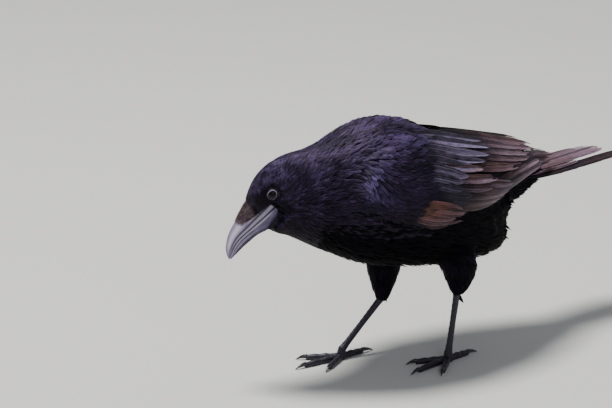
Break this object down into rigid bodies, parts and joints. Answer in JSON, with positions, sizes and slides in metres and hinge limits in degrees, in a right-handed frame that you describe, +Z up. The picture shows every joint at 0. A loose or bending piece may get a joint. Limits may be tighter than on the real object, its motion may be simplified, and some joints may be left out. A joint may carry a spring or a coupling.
{
  "type": "carrion crow model",
  "caption": "Life-size still model of a standing black crow, head lowered and turned to its right, wings folded, one foot ahead of the other.",
  "frame": {"origin": "on the floor, under the middle of the model's bounding box", "axes": "+Z up, -Y the way the body faces, +X the bird's left"},
  "size_m": [0.1342, 0.4236, 0.231],
  "materials": {
    "plumage": "soft black body feathers with a faint violet-blue gloss on mantle and shoulders",
    "flight_feathers": "worn brown-black flight feathers with a lilac-grey sheen and pale frayed edges",
    "worn_coverts": "faded rusty-brown primary coverts",
    "bill": "smooth black horn with a lilac-grey sheen",
    "bristles": "short brown-black bristle feathers over the nostrils",
    "eye": "wet dark brown eye",
    "leg_scales": "black scaled skin, satin",
    "claw": "polished black horn"
  },
  "bodies": {
    "root": {"bill_lower": "bill", "bill_upper": "bill", "claw_1_left": "claw", "claw_1_right": "claw", "claw_2_left": "claw", "claw_2_right": "claw", "claw_3_left": "claw", "claw_3_right": "claw", "claw_4_left": "claw", "claw_4_right": "claw", "eye_left": "eye", "eye_right": "eye", "greater_coverts_left": "flight_feathers", "greater_coverts_right": "flight_feathers", "head": "plumage", "nasal_bristles": "bristles", "neck": "plumage", "primaries_left": "flight_feathers", "primaries_right": "flight_feathers", "primary_coverts_left": "worn_coverts", "primary_coverts_right": "worn_coverts", "rump": "plumage", "secondaries_left": "flight_feathers", "secondaries_right": "flight_feathers", "tail": "flight_feathers", "tarsus_left": "leg_scales", "tarsus_right": "leg_scales", "tertials_left": "flight_feathers", "tertials_right": "flight_feathers", "thigh_left": "plumage", "thigh_right": "plumage", "toe_1_left": "leg_scales", "toe_1_right": "leg_scales", "toe_2_left": "leg_scales", "toe_2_right": "leg_scales", "toe_3_left": "leg_scales", "toe_3_right": "leg_scales", "toe_4_left": "leg_scales", "toe_4_right": "leg_scales", "trunk": "plumage", "wing_arm_left": "plumage", "wing_arm_right": "plumage"}
  },
  "joints": []
}
